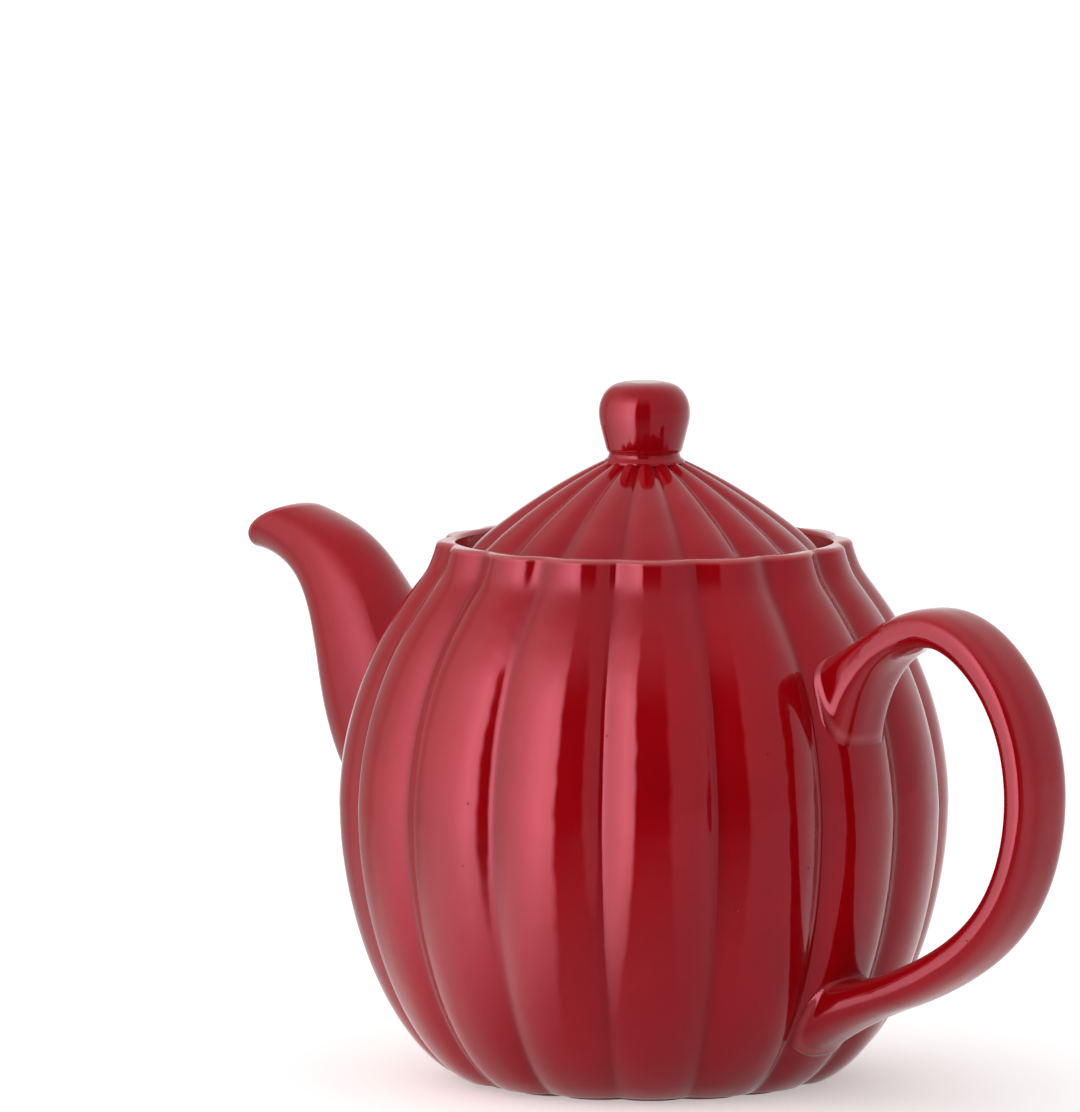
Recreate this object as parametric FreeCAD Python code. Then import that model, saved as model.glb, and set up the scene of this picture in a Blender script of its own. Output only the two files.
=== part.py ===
import FreeCAD, Part
import math
import os

from FreeCAD import Vector

# Lobed stoneware teapot with a lift-off lid, built from its five clay pieces.
# The pot is slip cast with sixteen lobes. The spout and the strap handle are
# cast apart and luted to its wall, and the lid carries a luted knob.
# Frame: millimetres, +Z up, origin under the middle of the foot on the table.
# The handle points along +X and the spout along -X.

# Driving dimensions of the pot
LOBES = 16
FOOT_RADIUS = 38.5
BELLY_RADIUS = 70.0
BELLY_HEIGHT = 63.0
RIM_RADIUS = 46.6
RIM_HEIGHT = 124.5
COLLAR_HEIGHT = 5.8
COLLAR_FLARE = 1.7
COLLAR_SOFTNESS = 0.8
LIP_ROUNDING = 1.4
FOOT_LOBE_DEPTH = 1.8
BELLY_LOBE_DEPTH = 2.7
RIM_LOBE_DEPTH = 0.8
HEEL_FULLNESS = 1.8
WALL = 3.4
FLOOR = 4.5
FOOT_RECESS = 2.2
FOOT_RING_WIDTH = 5.0
HEEL_RISE = 10.0

# Driving dimensions of the lid and its seat in the pot
SEAT_DEPTH = 6.5
SEAT_LEDGE = 5.0
SEAT_SHELF = 4.5
RIM_WALL = 3.4
LID_EDGE_CLEARANCE = 1.0
LID_EDGE_HEIGHT = 3.0
LID_RISE = 22.0
LID_BULGE = 1.8
LID_LOBE_DEPTH = 1.0
CROWN_LOBE_DEPTH = 0.45
FLANGE_CLEARANCE = 0.8
FLANGE_DEPTH = 11.0
FLANGE_WALL = 3.4
VENT_DIAMETER = 4.0
VENT_OFFSET = 24.0

# Driving dimensions of the knob
KNOB_RADIUS = 10.5
KNOB_HEIGHT = 17.8
KNOB_WIDEST = 10.9
KNOB_FLAT_RADIUS = 4.5
KNOB_UNDERCUT = 0.62
NECK_RADIUS = 8.2
NECK_HEIGHT = 1.9
NECK_GROOVE = 0.4

# Driving dimensions of the handle, a strap luted to one lobe at both ends
HANDLE_STANDOFF = 52.1
HANDLE_DROP = 9.2
HANDLE_GRIP_HEIGHT = 73.0
HANDLE_WIDTH = 16.5
HANDLE_THICKNESS = 9.0
HANDLE_EDGE_ROUNDING = 3.3
HANDLE_CROWN_SETBACK = 27.5
HANDLE_BEND_SETBACK = 8.5
HANDLE_SHOULDER_SETBACK = 44.5
HANDLE_SHOULDER_DROP = 6.5
UPPER_BEND_SHARE = 0.70
LOWER_BEND_SHARE = 0.52
LOWER_SLOPE_SHARE = 0.24
UPPER_JOINT_DROP = 35.5
LOWER_JOINT_HEIGHT = 20.0
JOINT_EMBED = 8.0
JOINT_WIDTH = 20.5
UPPER_JOINT_THICKNESS = 25.0
LOWER_JOINT_THICKNESS = 19.0
JOINT_FLARE_LENGTH = 26.0

# Driving dimensions of the spout
SPOUT_STANDOFF = 39.2
SPOUT_DROP = 4.4
SPOUT_ROOT_HEIGHT = 55.0
SPOUT_ROOT_RADIUS = 27.0
SPOUT_ROOT_FLATNESS = 0.75
SPOUT_TIP_RADIUS = 8.4
SPOUT_TAPER = 1.25
SPOUT_TAPER_END_SHARE = 0.86
SPOUT_ROUND_SHARE = 0.5
SPOUT_WALL = 3.2
SPOUT_MOUTH_TILT = 22.0
SPOUT_MOUTH_RISE = 2.9
SPOUT_LIP_ROUNDING = 1.3
SPOUT_ROOT_INSET = 26.0
SPOUT_KNEE_STANDOFF = 5.0
SPOUT_KNEE_RISE = 22.0
SPOUT_BEND_SETBACK = 11.3
SPOUT_BEND_DROP = 6.5
SPOUT_RUN_OUT = 17.0
SPOUT_RUN_OUT_RISE = 6.0

# Driving dimensions of the strainer holes behind the spout
STRAINER_HOLE = 5.5
STRAINER_PITCH = 9.0
STRAINER_RISE = 20.0
STRAINER_ROWS = (2, 3, 2)

# Counts of the sections that the lofted forms pass through
HEEL_RING_COUNT = 5
SHOULDER_RING_COUNT = 8
CAVITY_POINT_COUNT = 9
LID_RING_COUNT = 6
HANDLE_RING_COUNT = 16
SPOUT_RING_COUNT = 10
SPOUT_POINT_COUNT = 16

# Places that follow from the driving dimensions
LEDGE_HEIGHT = RIM_HEIGHT - SEAT_DEPTH
SEAT_RADIUS = RIM_RADIUS - RIM_WALL
THROAT_RADIUS = SEAT_RADIUS - SEAT_LEDGE
LID_RADIUS = SEAT_RADIUS - LID_EDGE_CLEARANCE
CROWN_HEIGHT = LEDGE_HEIGHT + LID_EDGE_HEIGHT + LID_RISE
CAVITY_FLOOR = FOOT_RECESS + FLOOR
UP = Vector(0, 0, 1)
FOOT_INSIDE = FOOT_RADIUS - FOOT_LOBE_DEPTH - FOOT_RING_WIDTH
TOUCH = 0.01


def mix(a, b, share):
    """The value that lies a share of the way from a to b."""
    return a + (b - a) * share


def smooth(share):
    """A share eased at both ends, so that what it drives starts and stops level."""
    return share * share * (3 - 2 * share)


def crest_radius(z):
    """Outer radius of the pot on the crest of a lobe at height z."""
    if z < BELLY_HEIGHT:
        below = (BELLY_HEIGHT - z) / BELLY_HEIGHT
        swell = (1 - below**HEEL_FULLNESS) ** (1 / HEEL_FULLNESS)
        return mix(FOOT_RADIUS, BELLY_RADIUS, swell)
    collar_foot = RIM_HEIGHT - COLLAR_HEIGHT
    foot_radius = RIM_RADIUS + COLLAR_FLARE
    half_height = (collar_foot - BELLY_HEIGHT) / math.sqrt(1 - (foot_radius / BELLY_RADIUS) ** 2)
    shoulder = BELLY_RADIUS * math.sqrt(1 - ((z - BELLY_HEIGHT) / half_height) ** 2)
    collar = mix(RIM_RADIUS, foot_radius, (RIM_HEIGHT - z) / COLLAR_HEIGHT)
    return (shoulder + collar + math.hypot(shoulder - collar, COLLAR_SOFTNESS)) / 2


def lobe_depth(z):
    """How far the valleys between the lobes lie inside the crests at height z."""
    if z < BELLY_HEIGHT:
        return mix(FOOT_LOBE_DEPTH, BELLY_LOBE_DEPTH, smooth(z / BELLY_HEIGHT))
    share = (z - BELLY_HEIGHT) / (RIM_HEIGHT - BELLY_HEIGHT)
    return mix(BELLY_LOBE_DEPTH, RIM_LOBE_DEPTH, smooth(share))


def polar(radius, angle, z):
    """The point at a radius and an angle about the pot's axis, at height z."""
    return Vector(radius * math.cos(angle), radius * math.sin(angle), z)


def lobed_ring(z, radius, depth):
    """A closed wire of one arc per lobe, with a crest on +X."""
    half = math.pi / LOBES
    arcs = []
    for lobe in range(LOBES):
        middle = 2 * half * lobe
        start = polar(radius - depth, middle - half, z)
        crest = polar(radius, middle, z)
        end = polar(radius - depth, middle + half, z)
        arcs.append(Part.Arc(start, crest, end).toShape())
    return Part.Wire(arcs)


def disc_below(radius, top, height):
    """A plain cylinder about the pot's axis whose upper face is at height top."""
    return Part.makeCylinder(radius, height, Vector(0, 0, top - height))


def turned(points):
    """A solid turned about the pot's axis from an outline of (radius, height) points."""
    outline = Part.makePolygon([Vector(r, 0, z) for r, z in points + points[:1]])
    return Part.Face(outline).revolve(Vector(0, 0, 0), UP, 360)


def pot_outside():
    """The pot's outer form, solid: the lobed belly, its collar and the rounded lip."""
    heights = [BELLY_HEIGHT * smooth(i / HEEL_RING_COUNT) for i in range(HEEL_RING_COUNT)]
    lip_foot = RIM_HEIGHT - LIP_ROUNDING
    for i in range(SHOULDER_RING_COUNT + 1):
        rise = math.sin(math.pi / 2 * i / SHOULDER_RING_COUNT)
        heights.append(mix(BELLY_HEIGHT, lip_foot, rise))
    rings = [lobed_ring(z, crest_radius(z), lobe_depth(z)) for z in heights]
    for angle in (30, 60, 90):
        turn = math.radians(angle)
        inset = LIP_ROUNDING * (1 - math.cos(turn))
        z = lip_foot + LIP_ROUNDING * math.sin(turn)
        rings.append(lobed_ring(z, crest_radius(z) - inset, RIM_LOBE_DEPTH))
    return Part.makeLoft(rings, True)


def wall_inside(z):
    """The point (radius, height) one wall thickness in from the valley at height z, square to the wall."""
    radius = crest_radius(z) - lobe_depth(z)
    above = crest_radius(z + TOUCH) - lobe_depth(z + TOUCH)
    slope = (above - radius) / TOUCH
    reach = WALL / math.hypot(1, slope)
    return radius - reach, z + reach * slope


def pot_cavity():
    """The turned space inside the pot, from its floor up to the shelf of the lid seat."""
    shelf = LEDGE_HEIGHT - SEAT_SHELF
    points = [(FOOT_INSIDE, CAVITY_FLOOR)]
    for i in range(CAVITY_POINT_COUNT):
        points.append(wall_inside(mix(HEEL_RISE, shelf, i / (CAVITY_POINT_COUNT - 1))))
    flank = spline_through(points).toShape()
    floor_middle = Vector(0, 0, points[0][1])
    shelf_middle = Vector(0, 0, points[-1][1])
    floor_line = Part.makeLine(floor_middle, Vector(points[0][0], 0, points[0][1]))
    shelf_line = Part.makeLine(Vector(points[-1][0], 0, points[-1][1]), shelf_middle)
    axis_line = Part.makeLine(shelf_middle, floor_middle)
    outline = Part.Wire([floor_line, flank, shelf_line, axis_line])
    return Part.Face(outline).revolve(Vector(0, 0, 0), UP, 360)


def pot_body(outside):
    """The pot: cavity, lid seat with its ledge and throat, foot ring and strainer holes."""
    over = RIM_HEIGHT + LIP_ROUNDING
    body = outside.cut(pot_cavity())
    body = body.cut(disc_below(THROAT_RADIUS, over, over - CAVITY_FLOOR))
    body = body.cut(disc_below(SEAT_RADIUS, over, over - LEDGE_HEIGHT))
    body = body.cut(disc_below(FOOT_INSIDE, FOOT_RECESS, FOOT_RECESS))
    return body.cut(strainer_holes())


def strainer_holes():
    """Drills for the staggered holes in the pot wall behind the spout."""
    row_step = STRAINER_PITCH * math.sqrt(3) / 2
    drills = []
    for row, count in enumerate(STRAINER_ROWS):
        z = SPOUT_ROOT_HEIGHT + STRAINER_RISE + (row - (len(STRAINER_ROWS) - 1) / 2) * row_step
        for hole in range(count):
            y = (hole - (count - 1) / 2) * STRAINER_PITCH
            start = Vector(-BELLY_RADIUS, y, z)
            drills.append(Part.makeCylinder(STRAINER_HOLE / 2, BELLY_RADIUS / 2, start, Vector(1, 0, 0)))
    return drills


def spline_through(points):
    """A smooth curve in the upright plane of the handle and the spout, through (x, z) points."""
    curve = Part.BSplineCurve()
    curve.interpolate([Vector(x, 0, z) for x, z in points])
    return curve


def along_path(path, share):
    """The point a share of the way along a path and the direction square to it in its plane."""
    at = path.parameterAtDistance(path.length() * share, path.FirstParameter)
    forward = Vector(path.tangent(at)[0])
    return path.value(at), Vector(0, 1, 0).cross(forward)


def strap_ring(path, share, width, thickness):
    """The strap's rounded section square to its path."""
    point, out = along_path(path, share)
    rounding = HANDLE_EDGE_ROUNDING
    side = width / 2 - rounding
    face = thickness / 2 - rounding
    edges = []
    corners = ((1, 1, 0), (-1, 1, 90), (-1, -1, 180), (1, -1, 270))
    ends = []
    for y, n, start in corners:
        arc = []
        for angle in (start, start + 45, start + 90):
            turn = math.radians(angle)
            across = y * side + rounding * math.cos(turn)
            outward = n * face + rounding * math.sin(turn)
            arc.append(point + Vector(0, across, 0) + out * outward)
        ends.append(arc)
    for corner, arc in enumerate(ends):
        edges.append(Part.Arc(*arc).toShape())
        edges.append(Part.makeLine(arc[2], ends[(corner + 1) % 4][0]))
    return Part.Wire(edges)


def handle(outside):
    """The strap handle, flared where it is luted to the pot and trimmed to the lobe it sits on."""
    grip = BELLY_RADIUS + HANDLE_STANDOFF - HANDLE_THICKNESS / 2
    crown = RIM_HEIGHT - HANDLE_DROP - HANDLE_THICKNESS / 2
    upper = RIM_HEIGHT - UPPER_JOINT_DROP
    lower = LOWER_JOINT_HEIGHT
    path = spline_through([
        (crest_radius(upper) - JOINT_EMBED, upper),
        (grip - HANDLE_SHOULDER_SETBACK, crown - HANDLE_SHOULDER_DROP),
        (grip - HANDLE_CROWN_SETBACK, crown),
        (grip - HANDLE_BEND_SETBACK, mix(HANDLE_GRIP_HEIGHT, crown, UPPER_BEND_SHARE)),
        (grip, HANDLE_GRIP_HEIGHT),
        (grip - HANDLE_BEND_SETBACK, mix(lower, HANDLE_GRIP_HEIGHT, LOWER_BEND_SHARE)),
        (grip - HANDLE_CROWN_SETBACK, mix(lower, HANDLE_GRIP_HEIGHT, LOWER_SLOPE_SHARE)),
        (crest_radius(lower) - JOINT_EMBED, lower),
    ])
    length = path.length()
    rings = []
    for i in range(HANDLE_RING_COUNT + 1):
        share = i / HANDLE_RING_COUNT
        from_end = min(share, 1 - share) * length
        flare = max(0, 1 - from_end / JOINT_FLARE_LENGTH) ** 2
        joint = UPPER_JOINT_THICKNESS if share < 0.5 else LOWER_JOINT_THICKNESS
        width = mix(HANDLE_WIDTH, JOINT_WIDTH, flare)
        rings.append(strap_ring(path, share, width, mix(HANDLE_THICKNESS, joint, flare)))
    return Part.makeLoft(rings, True).cut(outside)


def spout_ring(path, share, shrink):
    """The spout's oval section square to its path, drawn in by the wall for the bore."""
    point, out = along_path(path, share)
    swell = max(0, 1 - share / SPOUT_TAPER_END_SHARE) ** SPOUT_TAPER
    radius = mix(SPOUT_TIP_RADIUS, SPOUT_ROOT_RADIUS, swell)
    flatness = mix(SPOUT_ROOT_FLATNESS, 1, smooth(min(1, share / SPOUT_ROUND_SHARE)))
    points = []
    for step in range(SPOUT_POINT_COUNT):
        turn = 2 * math.pi * step / SPOUT_POINT_COUNT
        across = (radius * flatness - shrink) * math.sin(turn)
        points.append(point + Vector(0, across, 0) + out * ((radius - shrink) * math.cos(turn)))
    curve = Part.BSplineCurve()
    curve.interpolate(points, PeriodicFlag=True)
    return Part.Wire(curve.toShape())


def on_plane(edge, point, normal):
    """Whether an edge lies in the plane through a point with the given normal."""
    return all(abs((at - point).dot(normal)) < TOUCH for at in edge.discretize(7))


def spout(outside):
    """The hollow tapering spout, trimmed to the pot wall and cut off along its slanting mouth."""
    mouth = Vector(-BELLY_RADIUS - SPOUT_STANDOFF, 0, RIM_HEIGHT - SPOUT_DROP)
    path = spline_through([
        (-BELLY_RADIUS + SPOUT_ROOT_INSET, SPOUT_ROOT_HEIGHT),
        (-BELLY_RADIUS - SPOUT_KNEE_STANDOFF, SPOUT_ROOT_HEIGHT + SPOUT_KNEE_RISE),
        (mouth.x + SPOUT_BEND_SETBACK, mouth.z - SPOUT_BEND_DROP),
        (mouth.x, mouth.z),
        (mouth.x - SPOUT_RUN_OUT, mouth.z + SPOUT_RUN_OUT_RISE),
    ])
    shares = [i / SPOUT_RING_COUNT for i in range(SPOUT_RING_COUNT + 1)]
    tube = Part.makeLoft([spout_ring(path, share, 0) for share in shares], True)
    bore = Part.makeLoft([spout_ring(path, share, SPOUT_WALL) for share in shares], True)
    tilt = math.radians(SPOUT_MOUTH_TILT)
    beyond = Vector(-math.sin(tilt), 0, math.cos(tilt))
    cut_middle = mouth + beyond * SPOUT_MOUTH_RISE
    reach = 4 * SPOUT_ROOT_RADIUS
    cut_off = Part.makeBox(reach, reach, reach, Vector(-reach / 2, -reach / 2, 0))
    cut_off.Placement = FreeCAD.Placement(cut_middle, FreeCAD.Rotation(UP, beyond))
    open_tube = tube.cut(bore).cut(outside).cut(cut_off)
    lip_edges = [edge for edge in open_tube.Edges if on_plane(edge, cut_middle, beyond)]
    return open_tube.makeFillet(SPOUT_LIP_ROUNDING, lip_edges)


def lid():
    """The lobed lid: convex cone, edge band on the ledge, hollow underside, locating flange, vent."""
    edge = LEDGE_HEIGHT + LID_EDGE_HEIGHT
    rings = []
    for i in range(LID_RING_COUNT + 1):
        share = i / LID_RING_COUNT
        z = edge + LID_RISE * share + LID_BULGE * 4 * share * (1 - share)
        radius = mix(LID_RADIUS, NECK_RADIUS + NECK_GROOVE, share)
        rings.append(lobed_ring(z, radius, mix(LID_LOBE_DEPTH, CROWN_LOBE_DEPTH, share)))
    cover = Part.makeLoft(rings, True)
    band = Part.Face(rings[0]).extrude(Vector(0, 0, -LID_EDGE_HEIGHT))
    flange_outside = THROAT_RADIUS - FLANGE_CLEARANCE
    flange = disc_below(flange_outside, LEDGE_HEIGHT, FLANGE_DEPTH)
    whole = cover.fuse(band).fuse(flange).removeSplitter()
    inside = flange_outside - FLANGE_WALL
    slope = LID_RISE / (LID_RADIUS - NECK_RADIUS)
    hollow = turned([
        (0, LEDGE_HEIGHT - FLANGE_DEPTH),
        (inside, LEDGE_HEIGHT - FLANGE_DEPTH),
        (inside, LEDGE_HEIGHT),
        (NECK_RADIUS, LEDGE_HEIGHT + slope * (inside - NECK_RADIUS)),
        (0, LEDGE_HEIGHT + slope * (inside - NECK_RADIUS)),
    ])
    vent = Part.makeCylinder(VENT_DIAMETER / 2, LID_RISE * 2, Vector(-VENT_OFFSET, 0, LEDGE_HEIGHT))
    return whole.cut(hollow).cut(vent)


def lid_knob():
    """The turned knob: a short neck, a fine groove and a ball with a flattened top."""
    base = CROWN_HEIGHT
    waist = NECK_RADIUS + NECK_GROOVE
    flank_points = [
        (waist, base + NECK_HEIGHT),
        (mix(waist, KNOB_RADIUS, KNOB_UNDERCUT), base + mix(NECK_HEIGHT, KNOB_WIDEST, 0.5)),
    ]
    for angle in (0, 30, 60, 90):
        turn = math.radians(angle)
        radius = mix(KNOB_FLAT_RADIUS, KNOB_RADIUS, math.cos(turn))
        flank_points.append((radius, base + mix(KNOB_WIDEST, KNOB_HEIGHT, math.sin(turn))))
    flank = spline_through(flank_points)
    corners = [
        Vector(KNOB_FLAT_RADIUS, 0, base + KNOB_HEIGHT),
        Vector(0, 0, base + KNOB_HEIGHT),
        Vector(0, 0, base),
        Vector(NECK_RADIUS, 0, base),
        Vector(NECK_RADIUS, 0, base + NECK_HEIGHT),
        Vector(waist, 0, base + NECK_HEIGHT),
    ]
    edges = [flank.toShape()]
    for first, second in zip(corners, corners[1:]):
        edges.append(Part.makeLine(first, second))
    return Part.Face(Part.Wire(edges)).revolve(Vector(0, 0, 0), UP, 360)


def write(name, shape):
    """Writes one piece as parts/NAME.step and says what it measures."""
    solids = shape.Solids
    box = shape.BoundBox
    print(name, len(solids), "solid", shape.isValid(), "volume", round(shape.Volume),
          "box", [round(v, 1) for v in (box.XMin, box.XMax, box.YMin, box.YMax, box.ZMin, box.ZMax)])
    whole = solids[0] if len(solids) == 1 else Part.makeCompound(solids)
    whole.exportStep(os.path.join("parts", name + ".step"))


def main():
    os.makedirs("parts", exist_ok=True)
    outside = pot_outside()
    write("pot_body", pot_body(outside))
    write("spout", spout(outside))
    write("handle", handle(outside))
    write("lid", lid())
    write("lid_knob", lid_knob())


main()
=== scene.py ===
# %% [markdown]
# # A red lobed teapot
# A glazed stoneware teapot, pressed into sixteen lobes like a pumpkin. Its five clay pieces are the pot,
# the spout, the strap handle, the lid and the knob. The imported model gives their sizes, and this lesson
# models each one again, smoother than a CAD mesh, and dresses it in a glossy red glaze.

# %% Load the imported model
import math

import bpy
import numpy as np
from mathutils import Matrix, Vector


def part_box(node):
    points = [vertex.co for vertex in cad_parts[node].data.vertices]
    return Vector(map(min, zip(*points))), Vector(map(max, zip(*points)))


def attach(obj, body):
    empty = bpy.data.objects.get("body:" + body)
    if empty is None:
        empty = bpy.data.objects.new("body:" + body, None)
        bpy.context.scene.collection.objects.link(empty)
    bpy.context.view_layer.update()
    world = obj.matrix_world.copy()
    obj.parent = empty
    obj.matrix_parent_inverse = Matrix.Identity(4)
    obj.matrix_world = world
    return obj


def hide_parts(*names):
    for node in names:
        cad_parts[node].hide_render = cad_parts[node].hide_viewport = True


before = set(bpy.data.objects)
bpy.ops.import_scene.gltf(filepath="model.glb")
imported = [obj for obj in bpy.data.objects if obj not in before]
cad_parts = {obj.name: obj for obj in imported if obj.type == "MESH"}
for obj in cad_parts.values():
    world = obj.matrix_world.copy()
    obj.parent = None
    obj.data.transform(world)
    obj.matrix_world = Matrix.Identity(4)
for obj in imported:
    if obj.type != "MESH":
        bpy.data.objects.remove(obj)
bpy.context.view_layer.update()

# %% [markdown]
# ## The pot's outline
# The real pot is slip cast in a mould that was turned first and fluted afterwards. So its form is one
# outline turned about the axis, with sixteen lobes pressed in. The outline could be traced point by point,
# but a formula with a few sizes stays smooth when it is enlarged, and the lid, the handle and the spout can
# ask it where the wall is. All sizes are in millimetres, and the meshes are made in metres.

# %% Sizes of the pot
MM = 0.001
LOBES = 16
FOOT_RADIUS = 38.5
BELLY_RADIUS = 70.0
BELLY_HEIGHT = 63.0
RIM_RADIUS = 47.4
RIM_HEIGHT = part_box("pot_body")[1][2] / MM
COLLAR_HEIGHT = 7.0
COLLAR_FLARE = 1.9
COLLAR_SOFTNESS = 1.6
FOOT_LOBE_DEPTH = 2.4
BELLY_LOBE_DEPTH = 3.2
RIM_LOBE_DEPTH = 2.4
HEEL_FULLNESS = 1.8
WALL = 3.4
print("rim at", round(RIM_HEIGHT, 2), "mm")


# %% The outline as a formula
def mix(a, b, share):
    """The value that lies a share of the way from a to b."""
    return a + (b - a) * share


def smooth(share):
    """A share held between 0 and 1 and eased at both ends."""
    held = min(1, max(0, share))
    return held * held * (3 - 2 * held)


def crest_radius(z):
    """Outer radius of the pot on the crest of a lobe."""
    if z < BELLY_HEIGHT:
        below = (BELLY_HEIGHT - z) / BELLY_HEIGHT
        swell = max(0, 1 - below**HEEL_FULLNESS) ** (1 / HEEL_FULLNESS)
        return mix(FOOT_RADIUS, BELLY_RADIUS, swell)
    collar_foot = RIM_HEIGHT - COLLAR_HEIGHT
    foot_radius = RIM_RADIUS + COLLAR_FLARE
    half_height = (collar_foot - BELLY_HEIGHT) / math.sqrt(1 - (foot_radius / BELLY_RADIUS) ** 2)
    shoulder = BELLY_RADIUS * math.sqrt(max(0, 1 - ((z - BELLY_HEIGHT) / half_height) ** 2))
    collar = mix(RIM_RADIUS, foot_radius, (RIM_HEIGHT - z) / COLLAR_HEIGHT)
    return (shoulder + collar + math.hypot(shoulder - collar, COLLAR_SOFTNESS)) / 2


def lobe_depth(z):
    """How far the valleys lie inside the crests."""
    if z < BELLY_HEIGHT:
        return mix(FOOT_LOBE_DEPTH, BELLY_LOBE_DEPTH, smooth(z / BELLY_HEIGHT))
    share = (z - BELLY_HEIGHT) / (RIM_HEIGHT - BELLY_HEIGHT)
    return mix(BELLY_LOBE_DEPTH, RIM_LOBE_DEPTH, smooth(share))


# %% [markdown]
# ## The section of a lobe
# Across a lobe the clay is nearly flat in the middle and falls away faster towards the valley, where the
# glaze has run together and rounded the crease. A power of the distance from the crest gives the first, and
# a rounded corner at the end gives the second. The crease is tight on the belly and opens to a soft wave at
# the collar, where the mould was sponged smooth.

# %% The section as a formula
LOBE_SQUARENESS = 2.5
BELLY_CREASE = 0.09
RIM_CREASE = 0.30
CREASE_OPENS = 96.0


def crease_rounding(z):
    """How softly the valley is rounded, as a share of half a lobe."""
    return mix(BELLY_CREASE, RIM_CREASE, smooth((z - CREASE_OPENS) / (RIM_HEIGHT - CREASE_OPENS)))


def valley_share(angle, crease):
    """0 on the crest of a lobe and 1 in the valley, with the crease rounded."""
    lobe_angle = 2 * math.pi / LOBES
    offset = abs((angle / lobe_angle + 0.5) % 1 - 0.5) * 2
    to_crease = 1 - offset
    rounded = math.hypot(to_crease, crease) - crease
    return max(0, 1 - rounded / (math.hypot(1, crease) - crease))


def skin_radius(angle, z):
    """Outer radius of the lobed pot at an angle about its axis."""
    return crest_radius(z) - lobe_depth(z) * valley_share(angle, crease_rounding(z)) ** LOBE_SQUARENESS


# %% [markdown]
# ## Turning on the lathe
# Pot, lid, knob and spout all begin as turned forms. In Blender that is an outline drawn by extruding one
# point, then spun about the axis. Each outline point carries how deep the lobes are pressed there, how thin
# the glaze lies, with a painted highlight on the lip, and whether the clay is bare, and the spin copies
# these to the whole ring.

# %% Helpers to draw and spin an outline
def edit(piece):
    """Selects one piece alone and opens it in edit mode."""
    if bpy.context.object and bpy.context.object.mode != "OBJECT":
        bpy.ops.object.mode_set(mode="OBJECT")
    bpy.ops.object.select_all(action="DESELECT")
    piece.select_set(True)
    bpy.context.view_layer.objects.active = piece
    bpy.ops.object.mode_set(mode="EDIT")


def close_edit():
    """Goes back to object mode."""
    bpy.ops.object.mode_set(mode="OBJECT")


# thin_and_highlight is the pale colour of glaze pulled thin on edges, and on the lip and round the joints
# also a painted highlight.
def point(radius, z, press=0.0, thin_and_highlight=0.0, bare=0.0, crease=BELLY_CREASE):
    """One point of an outline: its place in millimetres and what the clay is like there."""
    return {"radius": radius, "z": z, "press": press, "thin_and_highlight": thin_and_highlight, "bare": bare, "crease": crease}


def turn_outline(name, outline, columns):
    """A closed turned form: the outline drawn as a chain of points and spun about the axis."""
    bpy.ops.object.select_all(action="DESELECT")
    bpy.ops.mesh.primitive_plane_add(size=MM)
    piece = bpy.context.object
    piece.name = name
    edit(piece)
    bpy.ops.mesh.merge(type="CENTER")
    here = Vector((0, 0, 0))
    for index, spot in enumerate(outline):
        there = Vector((spot["radius"], 0, spot["z"])) * MM
        if index == 0:
            bpy.ops.transform.translate(value=there - here)
        else:
            bpy.ops.mesh.extrude_region_move(TRANSFORM_OT_translate={"value": there - here})
        here = there
    close_edit()
    for key in ("press", "thin_and_highlight", "bare", "crease"):
        layer = piece.data.attributes.new(key, "FLOAT", "POINT")
        layer.data.foreach_set("value", [spot[key] for spot in outline])
    edit(piece)
    bpy.ops.mesh.select_all(action="SELECT")
    bpy.ops.mesh.spin(steps=columns, angle=2 * math.pi, center=(0, 0, 0), axis=(0, 0, 1))
    bpy.ops.mesh.select_all(action="SELECT")
    bpy.ops.mesh.remove_doubles(threshold=0.01 * MM)
    bpy.ops.mesh.normals_make_consistent(inside=False)
    bpy.ops.mesh.faces_shade_smooth()
    close_edit()
    return piece


# %% Helpers to read and move the points of a mesh
def get_points(piece):
    """The mesh's points in millimetres, one row each."""
    flat = np.zeros(len(piece.data.vertices) * 3)
    piece.data.vertices.foreach_get("co", flat)
    return flat.reshape(-1, 3) / MM


def set_points(piece, points):
    """Puts the mesh's points at these places, in millimetres."""
    piece.data.vertices.foreach_set("co", (points * MM).ravel())
    piece.data.update()


def get_layer(piece, name):
    """The values of one point attribute."""
    values = np.zeros(len(piece.data.vertices))
    piece.data.attributes[name].data.foreach_get("value", values)
    return values


def set_layer(piece, name, values):
    """Writes the values of one point attribute, which is made if it is new."""
    layer = piece.data.attributes.get(name) or piece.data.attributes.new(name, "FLOAT", "POINT")
    layer.data.foreach_set("value", values)


# %% [markdown]
# ## Pressing the lobes
# The lobes could be cut with booleans or sculpted. Here every ring of the turned form is drawn in by its
# own depth, as the mould does. The columns are first crowded towards the valleys, where the surface turns
# fastest, and each point notes how deep in a valley it lies, because glaze pools there and the glaze colour
# is darkened there as painted crease shade.

# %% A helper that presses lobes into a turned form
COLUMNS_PER_LOBE = 24
CROWDING = 1.5
POOL_AND_SHADE_TIGHTNESS = 16


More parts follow.
